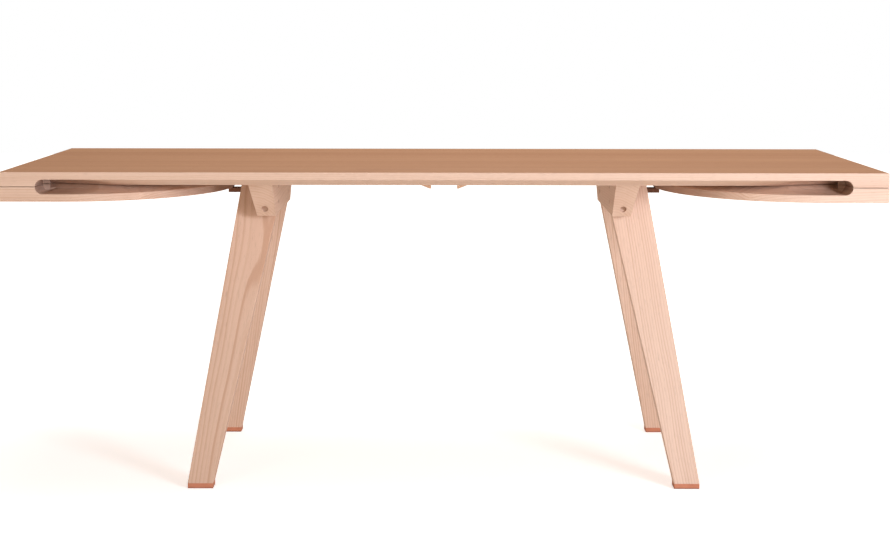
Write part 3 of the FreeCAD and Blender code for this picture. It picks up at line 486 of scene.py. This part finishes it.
def wood_finish(name, pale, deep, centre, grain, cut, ring_width=0.0042, heart=0.16, stave=10.0, painted_shade_side=0,
                figure=1.0):
    """An oiled wood material. grain is the direction of the fibres. The painted-shade side is 1 to darken the
    faces that look up to a deeper amber, and -1 to darken those that look down."""
    material = bpy.data.materials.new(name)
    material.use_nodes = True
    tree = material.node_tree
    shader = tree.nodes["Principled BSDF"]
    turn = Vector((1, 0, 0)).rotation_difference(Vector(grain).normalized()).to_euler()
    where = add(tree, "ShaderNodeTexCoord")
    along = add(
        tree,
        "ShaderNodeMapping",
        {"Vector": where.outputs["Object"], "Location": centre, "Rotation": turn},
        vector_type="TEXTURE",
    ).outputs[0]
    facing = add(
        tree, "ShaderNodeVectorRotate", {"Vector": where.outputs["Normal"], "Rotation": turn},
        rotation_type="EULER_XYZ", invert=True,
    ).outputs[0]
    timber = use_group(
        tree,
        timber_group,
        {
            "Along Grain": along,
            "Facing": facing,
            "Cut": cut,
            "Ring Width": ring_width,
            "Heart Distance": heart,
            "Stave Width": stave,
        },
    ).outputs
    edge = use_group(tree, wear_group, {"Reach": 0.0014, "Place": where.outputs["Object"]}).outputs

    rings = calc(tree, "MULTIPLY", timber["Late Wood"], RING_DEPTH * figure)
    bands = calc(tree, "MULTIPLY_ADD", timber["Streak"], BAND_DEPTH, -BAND_DEPTH / 2)
    staves = calc(tree, "MULTIPLY_ADD", timber["Stave Tone"], STAVE_DEPTH, -0.05)
    depth = calc(tree, "ADD", calc(tree, "ADD", rings, bands), staves, clamp=True)
    body = mix_colour(tree, depth, pale, deep)
    # End faces: partly the real darker end grain, partly painted shade for the beam ends under the top's
    # overhang.
    end_grain_and_shade = mix_colour(tree, 1.0, mix_colour(tree, 0.6, body, deep), END_GRAIN_AND_SHADE, blend="MULTIPLY")
    body = mix_colour(tree, timber["End Grain"], body, end_grain_and_shade)
    shade = calc(tree, "MULTIPLY", timber["Pores"], PORE_SHADE)
    shade = calc(tree, "MAXIMUM", shade, calc(tree, "MULTIPLY", timber["Knots"], KNOT_SHADE))
    dark = tuple(channel * 0.3 for channel in deep[:3]) + (1.0,)
    body = mix_colour(tree, shade, body, dark)
    # Painted shade: faces turned up, or down for the leaves, are darkened to amber by their direction alone.
    if painted_shade_side:
        upward = add(tree, "ShaderNodeSeparateXYZ", {0: where.outputs["Normal"]}).outputs[2]
        painted_shade_share = remap(tree, calc(tree, "MULTIPLY", upward, painted_shade_side), 0.7, 0.95)
        body = mix_colour(tree, painted_shade_share, body, PAINTED_SHADE_AMBER, blend="MULTIPLY")
    worn = tuple(min(1.0, channel * PALER) for channel in pale[:3]) + (1.0,)
    body = mix_colour(tree, calc(tree, "MULTIPLY", edge["Wear"], WEAR_SHARE), body, worn)
    tree.links.new(body, shader.inputs["Base Color"])

    gloss = calc(tree, "MULTIPLY_ADD", timber["Late Wood"], -0.08, 0.62)
    gloss = calc(tree, "MULTIPLY_ADD", timber["Pores"], 0.15, gloss)
    gloss = calc(tree, "MULTIPLY_ADD", edge["Wear"], -0.1, gloss, clamp=True)
    tree.links.new(gloss, shader.inputs["Roughness"])
    shader.inputs["Specular IOR Level"].default_value = OIL_SHEEN
    bump = add(
        tree,
        "ShaderNodeBump",
        {"Height": timber["Relief"], "Strength": 0.25, "Distance": 0.0004, "Normal": edge["Soft Edge"]},
    )
    tree.links.new(bump.outputs[0], shader.inputs["Normal"])
    return material


def dress(node, material):
    """Gives a piece of the frame its finish. Its mesh and place stay as they are."""
    slots = nodes[node].material_slots
    if not slots:
        nodes[node].data.materials.append(material)
    for held in slots:
        held.material = material


print("one function mixes every wooden finish")

# %% [markdown]
# ## The board and its leaves
#
# The top is a glued-up board of staves about 110 mm wide, all running the length of the table. The two leaves
# were once part of the same long board, so their grain runs the same way. The top's faces that look up, and
# the leaves' faces that look down here under the board, get the same deeper amber as painted shade.

# %% Finish the boards
PALE_TIMBER = colour(220, 189, 167)
DEEP_TIMBER = colour(192, 152, 126)
STAVE = 0.1125
ALONG_TABLE = (1, 0, 0)
ACROSS_TABLE = (0, 1, 0)

dress(
    "table_top",
    wood_finish("board_oil_top", PALE_TIMBER, DEEP_TIMBER, middle(top_low, top_high), ALONG_TABLE, 1.0,
                stave=STAVE, painted_shade_side=1),
)
for cut, side in ((2.0, "left"), (3.0, "right")):
    leaf_low, leaf_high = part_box(side + "_leaf")
    finish = wood_finish("board_oil_" + side, PALE_TIMBER, DEEP_TIMBER, middle(leaf_low, leaf_high),
                         ALONG_TABLE, cut, ring_width=0.0062, stave=STAVE, painted_shade_side=-1, figure=1.8)
    dress(side + "_leaf", finish)
    print(side, "leaf is", round(leaf_high.x - leaf_low.x, 3), "m long")

# %% [markdown]
# ## The trestles
#
# Each trestle is a crossbeam with a leg let into each end. A leg's fibres run along the leg, which leans two
# ways. The direction is found by joining the middle of its lowest corners to the middle of its highest ones.
# The crossbeam's fibres run across the table, so its ends, which face the front and the back, show arcs.

# %% Finish the beams and the legs
END_SHARE = 0.03


def lean_of(node):
    """The direction of a leg: from the middle of its foot to the middle of its head."""
    points = [vertex.co for vertex in nodes[node].data.vertices]
    lowest, highest = box_of(points)
    reach = (highest.z - lowest.z) * END_SHARE
    foot = box_of([point for point in points if point.z < lowest.z + reach])
    head = box_of([point for point in points if point.z > highest.z - reach])
    return middle(*head) - middle(*foot)


cut = 10.0
for side in ("left", "right"):
    beam_low, beam_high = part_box(side + "_beam")
    finish = wood_finish("beam_oil_" + side, PALE_TIMBER, DEEP_TIMBER, middle(beam_low, beam_high),
                         ACROSS_TABLE, cut, ring_width=0.0065, heart=0.06, figure=1.3)
    dress(side + "_beam", finish)
    cut += 1.0
    for end in ("front", "back"):
        leg = end + "_" + side + "_leg"
        lean = lean_of(leg)
        finish = wood_finish("leg_oil_" + end + "_" + side, PALE_TIMBER, DEEP_TIMBER, middle(*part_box(leg)),
                             lean, cut, ring_width=0.0062, heart=0.13, figure=2.2)
        dress(leg, finish)
        cut += 1.0
        print(leg, "leans", round(math.degrees(lean.angle(Vector((0, 0, 1)))), 1), "degrees")

# %% [markdown]
# ## Sliding bars, grips and plugs
#
# The four bars that carry the open leaves slide in grooves, so they are a harder, closer-grained timber. The
# grip is glued on the inner end of each bar. The plugs that close the crossbeams' end holes are turned from
# timber whose grain runs across the hole, so they are paler than the end grain around them.

# %% Finish the bars, grips and plugs
PALE_BAR = colour(222, 184, 152)
DEEP_BAR = colour(192, 146, 112)
for side in ("left", "right"):
    for end in ("front", "back"):
        for part in ("support_bar", "grip"):
            node = end + "_" + side + "_" + part
            finish = wood_finish(part + "_oil_" + end + "_" + side, PALE_BAR, DEEP_BAR, middle(*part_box(node)),
                                 ALONG_TABLE, cut, ring_width=0.0028, heart=0.05)
            dress(node, finish)
            cut += 1.0
dress(
    "beam_plugs",
    wood_finish("plug_oil", PALE_TIMBER, DEEP_TIMBER, (0, 0, 0), ALONG_TABLE, cut, ring_width=0.004),
)
print("bars, grips and plugs are finished")

# %% [markdown]
# ## The catches
#
# A small dark block and tongue hold each leaf up: the tongue carries a steel disc that meets a magnet in the
# block. They are coloured a dark brown, with finer rings than the table's timber.

# %% Finish the catches
PALE_CATCH = colour(140, 94, 68)
DEEP_CATCH = colour(88, 54, 38)
for side in ("left", "right"):
    for part in ("catch_block", "catch_tongue"):
        node = side + "_" + part
        finish = wood_finish(part + "_oil_" + side, PALE_CATCH, DEEP_CATCH, middle(*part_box(node)),
                             ALONG_TABLE, cut, ring_width=0.0022, heart=0.04)
        dress(node, finish)
        cut += 1.0
print("the catches are finished")

# %% [markdown]
# ## Leather foot pads
#
# Each leg stands on a slice of thick reddish leather. Leather has a fine pebbled skin, and its cut edge is
# fibrous. The pad's colour darkens towards the floor, in its lowest 4 mm. Two sizes of cells give the pebbling,
# and height above the floor gives the darkening.

# %% Finish the foot pads
pad_low, pad_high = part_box("front_left_foot")


def leather_finish(name, fresh, rubbed):
    """Pebbled leather that is darker near the floor."""
    material = bpy.data.materials.new(name)
    material.use_nodes = True
    tree = material.node_tree
    shader = tree.nodes["Principled BSDF"]
    where = add(tree, "ShaderNodeTexCoord").outputs["Object"]
    pebbles = add(tree, "ShaderNodeTexVoronoi", {"Vector": where, "Scale": 900.0}).outputs["Distance"]
    fibres = add(tree, "ShaderNodeTexNoise", {"Vector": where, "Scale": 340.0, "Detail": 4.0}).outputs[0]
    patches = add(tree, "ShaderNodeTexNoise", {"Vector": where, "Scale": 45.0, "Detail": 3.0}).outputs[0]
    height = add(tree, "ShaderNodeSeparateXYZ", {0: where}).outputs[2]
    # The lowest 4 mm of the pad are coloured darker towards the floor.
    floor_darkening = remap(tree, height, pad_low.z + 0.004, pad_low.z, 0.0, 0.75)
    mottled = mix_colour(tree, patches, fresh, rubbed)
    mottled = mix_colour(tree, calc(tree, "MULTIPLY", fibres, 0.35), mottled, rubbed)
    edge = use_group(tree, wear_group, {"Reach": 0.001, "Place": where}).outputs
    mottled = mix_colour(tree, calc(tree, "MULTIPLY", edge["Wear"], 0.3), mottled, colour(206, 150, 118))
    mottled = mix_colour(tree, floor_darkening, mottled, colour(88, 52, 40))
    tree.links.new(mottled, shader.inputs["Base Color"])
    tree.links.new(calc(tree, "MULTIPLY_ADD", pebbles, 0.25, 0.55), shader.inputs["Roughness"])
    grain = calc(tree, "MULTIPLY_ADD", fibres, 0.5, calc(tree, "MULTIPLY", pebbles, 0.6))
    bump = add(tree, "ShaderNodeBump", {"Height": grain, "Strength": 0.5, "Distance": 0.0006,
                                        "Normal": edge["Soft Edge"]})
    tree.links.new(bump.outputs[0], shader.inputs["Normal"])
    shader.inputs["Specular IOR Level"].default_value = 0.3
    return material


pad_leather = leather_finish("pad_leather", colour(206, 138, 106), colour(174, 106, 78))
for end in ("front", "back"):
    for side in ("left", "right"):
        dress(end + "_" + side + "_foot", pad_leather)
print("the pads are", round((pad_high.z - pad_low.z) * 1000, 1), "mm thick")

# %% [markdown]
# ## Steel
#
# The hinges are satin stainless steel: brushed along the knuckle, with fingermarks. The screws are zinc
# plated, which shows as faint yellowish and bluish clouds. The magnets and their discs are nickel plated and
# brighter. Brushing is a noise stretched along one axis. It goes into the roughness and a very low bump.

# %% The steel finish
SCRATCH_DEPTH = 0.06


def steel_finish(name, clean, dull, brushing, rough):
    """Metal brushed along one axis. A small number in brushing gives long scratches that way."""
    material = bpy.data.materials.new(name)
    material.use_nodes = True
    tree = material.node_tree
    shader = tree.nodes["Principled BSDF"]
    where = add(tree, "ShaderNodeTexCoord").outputs["Object"]
    along = add(tree, "ShaderNodeMapping", {"Vector": where, "Scale": brushing}).outputs[0]
    lines = add(tree, "ShaderNodeTexNoise", {"Vector": along, "Scale": 1.0, "Detail": 3.0}).outputs[0]
    smudges = add(tree, "ShaderNodeTexNoise", {"Vector": where, "Scale": 70.0, "Detail": 3.0}).outputs[0]
    edge = use_group(tree, wear_group, {"Reach": 0.0005, "Place": where}).outputs
    body = mix_colour(tree, calc(tree, "MULTIPLY", smudges, 0.8), clean, dull)
    bright = tuple(min(1.0, channel * 1.2) for channel in clean[:3]) + (1.0,)
    body = mix_colour(tree, calc(tree, "MULTIPLY", edge["Wear"], 0.6), body, bright)
    tree.links.new(body, shader.inputs["Base Color"])
    shader.inputs["Metallic"].default_value = 1.0
    gloss = calc(tree, "MULTIPLY_ADD", lines, 0.2, rough)
    gloss = calc(tree, "MULTIPLY_ADD", smudges, 0.12, gloss)
    tree.links.new(gloss, shader.inputs["Roughness"])
    bump = add(tree, "ShaderNodeBump", {"Height": lines, "Strength": SCRATCH_DEPTH, "Distance": 0.0002,
                                        "Normal": edge["Soft Edge"]})
    tree.links.new(bump.outputs[0], shader.inputs["Normal"])
    return material


BRUSHED_ACROSS_TABLE = (2600, 60, 2600)
CAST_EVENLY = (900, 900, 900)
satin_steel = steel_finish(
    "satin_steel", colour(196, 198, 200), colour(160, 160, 160), BRUSHED_ACROSS_TABLE, 0.24
)
zinc_plate = steel_finish("zinc_plate", colour(206, 204, 192), colour(166, 172, 178), CAST_EVENLY, 0.26)
nickel_plate = steel_finish("nickel_plate", colour(214, 212, 206), colour(188, 184, 176), CAST_EVENLY, 0.14)

for side in ("left", "right"):
    for place in ("front", "middle", "back"):
        for plate in ("top_plate", "leaf_plate"):
            dress("_".join((side, place, "hinge", plate)), satin_steel)
    dress(side + "_keeper_disc", nickel_plate)
dress("hinge_pins", satin_steel)
dress("catch_magnets", nickel_plate)
for node in ("top_inserts", "leg_cross_dowels"):
    dress(node, zinc_plate)
print("hinges, magnets and inserts are finished")

# %% [markdown]
# ## Screws and bolts
#
# Every screw follows one rule: a shaft of stacked rings, whose radius depends on how deep the ring is and on
# how far round it the point lies. Near the top the radius widens into the head. Below the neck a ridge winds
# round the shaft, one turn for each pitch. At the tip it tapers off. A star-shaped prism is then cut out of
# the head for the driver: four thin points make a cross, and three blunt ones a hexagon.
#
# Geometry Nodes suit this well. One tree makes the screw once and places it on every seat. A seat is a point
# with a direction, and each screw is turned by chance about its own axis, because nobody lines up the slots.

# %% Geometry Nodes: a threaded screw on every seat
SCREW_INPUTS = [
    ("Seats", "Geometry"),
    ("Length", "Float"),
    ("Head Radius", "Float"),
    ("Head Base Radius", "Float"),
    ("Head Depth", "Float"),
    ("Neck Length", "Float"),
    ("Shaft Radius", "Float"),
    ("Tip Length", "Float"),
    ("Tip Share", "Float"),
    ("Thread Pitch", "Float"),
    ("Thread Height", "Float"),
    ("Rings", "Int"),
    ("Sides", "Int"),
    ("Drive Points", "Int"),
    ("Drive Radius", "Float"),
    ("Drive Waist", "Float"),
    ("Drive Depth", "Float"),
    ("Chance", "Int"),
    ("Metal", "Material"),
]
HEAD_RINGS = 4
HEAD_CHAMFER = 0.93
SHARP_ANGLE = 0.7


def ramp_between(tree, value, from_low, from_high, to_low, to_high):
    """A straight ramp from one range to another, kept within it."""
    return add(
        tree, "ShaderNodeMapRange", {"Value": value, 1: from_low, 2: from_high, 3: to_low, 4: to_high}
    ).outputs[0]


def make_screw_tree():
    """The tree that models one screw from its sizes and sets a copy on each seat."""
    tree, given, result = new_group("screw_maker", "GeometryNodeTree", SCREW_INPUTS, [("Screws", "Geometry")])
    size = given.outputs
    blank = add(
        tree,
        "GeometryNodeMeshCylinder",
        {"Vertices": size["Sides"], "Side Segments": size["Rings"], "Radius": 1.0, "Depth": 1.0},
        fill_type="NGON",
    ).outputs["Mesh"]
    at = add(tree, "ShaderNodeSeparateXYZ", {0: add(tree, "GeometryNodeInputPosition").outputs[0]}).outputs
    turn = calc(tree, "ARCTAN2", at[1], at[0])
    ring = calc(tree, "ROUND", calc(tree, "MULTIPLY", calc(tree, "ADD", at[2], 0.5), size["Rings"]))

    in_head = calc(tree, "LESS_THAN", ring, HEAD_RINGS + 0.5)
    head_share = calc(tree, "POWER", calc(tree, "DIVIDE", ring, HEAD_RINGS), 2.0)
    rim_share = 1 / HEAD_RINGS**2
    head = ramp_between(tree, head_share, rim_share, 1.0, size["Head Radius"], size["Head Base Radius"])
    chamfer = ramp_between(tree, ring, 0.0, 1.0, HEAD_CHAMFER, 1.0)
    head = calc(tree, "MULTIPLY", head, chamfer)
    head_depth = calc(tree, "MULTIPLY", head_share, size["Head Depth"])

    shaft_start = HEAD_RINGS + 1.0
    shaft_depth = ramp_between(tree, ring, shaft_start, size["Rings"], size["Head Depth"], size["Length"])
    neck_end = calc(tree, "ADD", size["Head Depth"], size["Neck Length"])
    grown_by = calc(tree, "ADD", neck_end, size["Thread Pitch"])
    grown = ramp_between(tree, shaft_depth, neck_end, grown_by, 0.0, 1.0)
    winding = calc(tree, "DIVIDE", shaft_depth, size["Thread Pitch"])
    winding = calc(tree, "ADD", winding, calc(tree, "DIVIDE", turn, math.tau))
    valley = calc(tree, "MULTIPLY", calc(tree, "PINGPONG", winding, 0.5), 2.0)
    valley = calc(tree, "MULTIPLY", calc(tree, "MULTIPLY", valley, size["Thread Height"]), grown)
    tip_start = calc(tree, "SUBTRACT", size["Length"], size["Tip Length"])
    taper = ramp_between(tree, shaft_depth, tip_start, size["Length"], 1.0, size["Tip Share"])
    shaft = calc(tree, "MULTIPLY", calc(tree, "SUBTRACT", size["Shaft Radius"], valley), taper)

    depth = add(tree, "ShaderNodeMix", {0: in_head, 2: shaft_depth, 3: head_depth}).outputs[0]
    radius = add(tree, "ShaderNodeMix", {0: in_head, 2: shaft, 3: head}).outputs[0]
    ring_place = add(
        tree,
        "ShaderNodeCombineXYZ",
        {0: calc(tree, "MULTIPLY", at[0], radius), 1: calc(tree, "MULTIPLY", at[1], radius), 2: depth},
    ).outputs[0]
    turned = add(tree, "GeometryNodeSetPosition", {"Geometry": blank, "Position": ring_place}).outputs[0]

    points = {
        "Points": size["Drive Points"],
        "Inner Radius": size["Drive Waist"],
        "Outer Radius": size["Drive Radius"],
    }
    star = add(tree, "GeometryNodeCurveStar", points).outputs["Curve"]
    star_face = add(tree, "GeometryNodeFillCurve", {"Curve": star}, mode="NGONS").outputs[0]
    prism_height = calc(tree, "MULTIPLY", size["Drive Depth"], 2.0)
    prism = add(tree, "GeometryNodeExtrudeMesh", {"Mesh": star_face, "Offset Scale": prism_height})
    flipped = add(tree, "GeometryNodeFlipFaces", {"Mesh": star_face}).outputs[0]
    closed = add(tree, "GeometryNodeJoinGeometry")
    for part in (prism.outputs["Mesh"], flipped):
        tree.links.new(part, closed.inputs[0])
    welded = add(tree, "GeometryNodeMergeByDistance", {"Geometry": closed.outputs[0], "Distance": 0.000001})
    above = calc(tree, "MULTIPLY", size["Drive Depth"], -1.0)
    sunk = add(tree, "ShaderNodeCombineXYZ", {2: above}).outputs[0]
    cutter = add(tree, "GeometryNodeTransform", {"Geometry": welded.outputs[0], "Translation": sunk})
    drilled = add(
        tree,
        "GeometryNodeMeshBoolean",
        {"Mesh 1": turned, "Mesh 2": cutter.outputs[0]},
        operation="DIFFERENCE",
        solver="EXACT",
    ).outputs["Mesh"]

    facing = add(tree, "GeometryNodeInputNamedAttribute", {"Name": "facing"}, data_type="FLOAT_VECTOR")
    aimed = add(tree, "FunctionNodeAlignRotationToVector", {"Vector": facing.outputs[0]}, axis="Z")
    any_turn = {2: 0.0, 3: math.tau, "Seed": size["Chance"]}
    spin = add(tree, "FunctionNodeRandomValue", any_turn, data_type="FLOAT")
    about = add(tree, "FunctionNodeAxisAngleToRotation", {"Axis": (0, 0, 1), "Angle": spin.outputs[1]})
    turns = {"Rotation": aimed.outputs[0], "Rotate By": about.outputs[0]}
    spun = add(tree, "FunctionNodeRotateRotation", turns, rotation_space="LOCAL")
    placed = add(
        tree,
        "GeometryNodeInstanceOnPoints",
        {"Points": size["Seats"], "Instance": drilled, "Rotation": spun.outputs[0]},
    ).outputs[0]
    real = add(tree, "GeometryNodeRealizeInstances", {"Geometry": placed}).outputs[0]
    sharp = calc(tree, "GREATER_THAN", add(tree, "GeometryNodeInputMeshEdgeAngle").outputs[0], SHARP_ANGLE)
    smooth = add(tree, "GeometryNodeSetShadeSmooth", {"Geometry": real, "Shade Smooth": True}, domain="FACE")
    crisp = add(
        tree,
        "GeometryNodeSetShadeSmooth",
        {"Geometry": smooth.outputs[0], "Selection": sharp, "Shade Smooth": False},
        domain="EDGE",
    )
    coated = add(tree, "GeometryNodeSetMaterial", {"Geometry": crisp.outputs[0], "Material": size["Metal"]})
    tree.links.new(coated.outputs[0], result.inputs["Screws"])
    return tree


screw_tree = make_screw_tree()
print("screw_maker has", len(screw_tree.nodes), "nodes")

# %% [markdown]
# ## Reading a screw off the frame
#
# The frame's own screws are plain turned shapes, but they say where each head sits, which way the screw goes
# and how thick it is. The helper sorts a solid's corners by depth from the head and reads the radius at each
# depth.

# %% Seats and sizes from the frame's plain screws
def turned_profile(points, axis, forward):
    """Where a turned solid starts, and its (depth, radius) steps from the head to the tip."""
    lowest, highest = box_of(points)
    start = middle(lowest, highest)
    start[axis] = lowest[axis] if forward > 0 else highest[axis]
    widest = {}
    for point in points:
        offset = point - start
        depth = round(offset[axis] * forward, 5)
        offset[axis] = 0.0
        widest[depth] = max(widest.get(depth, 0.0), offset.length)
    return start, sorted(widest.items())


def seats_object(name, starts, directions):
    """A mesh with a point on every seat, and each seat's direction in an attribute."""
    mesh = bpy.data.meshes.new(name)
    mesh.from_pydata(starts, [], [])
    facing = mesh.attributes.new("facing", "FLOAT_VECTOR", "POINT")
    for item, direction in zip(facing.data, directions):
        item.vector = direction
    seats = bpy.data.objects.new(name, mesh)
    bpy.context.scene.collection.objects.link(seats)
    return seats


def run_screw_tree(name, starts, directions, sizes):
    """Runs the screw tree over some seats, and returns the result as a plain mesh object."""
    seats = seats_object(name + "_seats", starts, directions)
    maker = seats.modifiers.new("screw_maker", "NODES")
    maker.node_group = screw_tree
    for item in screw_tree.interface.items_tree:
        if item.in_out == "INPUT" and item.name in sizes:
            maker[item.identifier] = sizes[item.name]
    bpy.context.view_layer.update()
    evaluated = seats.evaluated_get(bpy.context.evaluated_depsgraph_get())
    mesh = bpy.data.meshes.new_from_object(evaluated)
    mesh.name = name
    bpy.data.objects.remove(seats)
    piece = bpy.data.objects.new(name, mesh)
    bpy.context.scene.collection.objects.link(piece)
    return piece


first_screw = separate_solids("top_hinge_screws")[0]
print("the middle of the first hinge screw's head:", turned_profile(first_screw, 2, 1)[0])

# %% [markdown]
# ## Setting the screws
#
# The depths and radii come from the frame. The thread, the driver's recess and the tip are what the helper
# adds: a cross and a point for wood screws, a hexagon and a blunt end for bolts. Screws that go through
# different bodies are separate meshes, because the leaves' screws swing with them.

# %% Make every screw and bolt
RINGS_PER_TURN = 4
SIDES = 16
UP, DOWN, LEFT, RIGHT = (2, 1), (2, -1), (0, -1), (0, 1)
CROSS_DEPTH = 0.0016
HEXAGON_DEPTH = 0.55
# Pitch, tip and thread are shares of the shaft's radius, and so is tip_share, the radius at the very end. The
# neck is a share of the shaft's length. The drive and its waist are shares of the head's radius, and a
# hexagon's depth is a share of the head's depth.
WOOD_SCREW = {"pitch": 0.8, "neck": 0.2, "tip": 2.2, "tip_share": 0.06, "thread": 0.3,
              "points": 4, "drive": 0.55, "waist": 0.17}
BOLT = {"pitch": 0.3, "neck": 0.6, "tip": 0.4, "tip_share": 0.8, "thread": 0.14,
        "points": 3, "drive": 0.5, "waist": 0.5}
FASTENERS = [
    ("top_hinge_screws", "table", UP, WOOD_SCREW),
    ("left_leaf_hinge_screws", "left_leaf", DOWN, WOOD_SCREW),
    ("right_leaf_hinge_screws", "right_leaf", DOWN, WOOD_SCREW),
    ("foot_screws", "table", UP, WOOD_SCREW),
    ("catch_block_screws", "table", UP, WOOD_SCREW),
    ("left_tongue_screws", "left_leaf", UP, WOOD_SCREW),
    ("right_tongue_screws", "right_leaf", UP, WOOD_SCREW),
    ("left_beam_bolts", "table", UP, BOLT),
    ("right_beam_bolts", "table", UP, BOLT),
    ("left_leg_bolts", "table", LEFT, BOLT),
    ("right_leg_bolts", "table", RIGHT, BOLT),
]


def read_head(steps):
    """Head radius, radius under the head, head depth and shaft radius, from a plain screw's steps."""
    head_radius = steps[0][1]
    shaft_radius = steps[-1][1]
    flat_head = steps[1][1] > head_radius * 0.99
    if flat_head:
        return head_radius, head_radius, steps[1][0], shaft_radius
    narrow = [depth for depth, radius in steps if radius < shaft_radius * 1.01]
    return head_radius, shaft_radius, narrow[0], shaft_radius


def screws_for(node, body, way, kind, chance):
    """Models every screw of a node in full, in place of the frame's plain ones."""
    axis, forward = way
    solids = separate_solids(node)
    read = [turned_profile(points, axis, forward) for points in solids]
    steps = read[0][1]
    length = steps[-1][0]
    head_radius, base_radius, head_depth, shaft_radius = read_head(steps)
    pitch = shaft_radius * kind["pitch"]
    direction = [0.0, 0.0, 0.0]
    direction[axis] = float(forward)
    sizes = {
        "Length": length,
        "Head Radius": head_radius,
        "Head Base Radius": base_radius,
        "Head Depth": head_depth,
        "Neck Length": (length - head_depth) * kind["neck"],
        "Shaft Radius": shaft_radius,
        "Tip Length": shaft_radius * kind["tip"],
        "Tip Share": kind["tip_share"],
        "Thread Pitch": pitch,
        "Thread Height": shaft_radius * kind["thread"],
        "Rings": HEAD_RINGS + 1 + round((length - head_depth) / pitch * RINGS_PER_TURN),
        "Sides": SIDES,
        "Drive Points": kind["points"],
        "Drive Radius": head_radius * kind["drive"],
        "Drive Waist": head_radius * kind["waist"],
        "Drive Depth": min(CROSS_DEPTH, length) if kind is WOOD_SCREW else head_depth * HEXAGON_DEPTH,
        "Chance": chance,
        "Metal": zinc_plate,
    }
    starts = [start for start, _ in read]
    piece = run_screw_tree(node + "_threaded", starts, [direction] * len(starts), sizes)
    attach(piece, body)
    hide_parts(node)
    print(piece.name, "has", len(solids), "screws and", len(piece.data.polygons), "faces")


for chance, (node, body, way, kind) in enumerate(FASTENERS, start=1):
    screws_for(node, body, way, kind, chance)
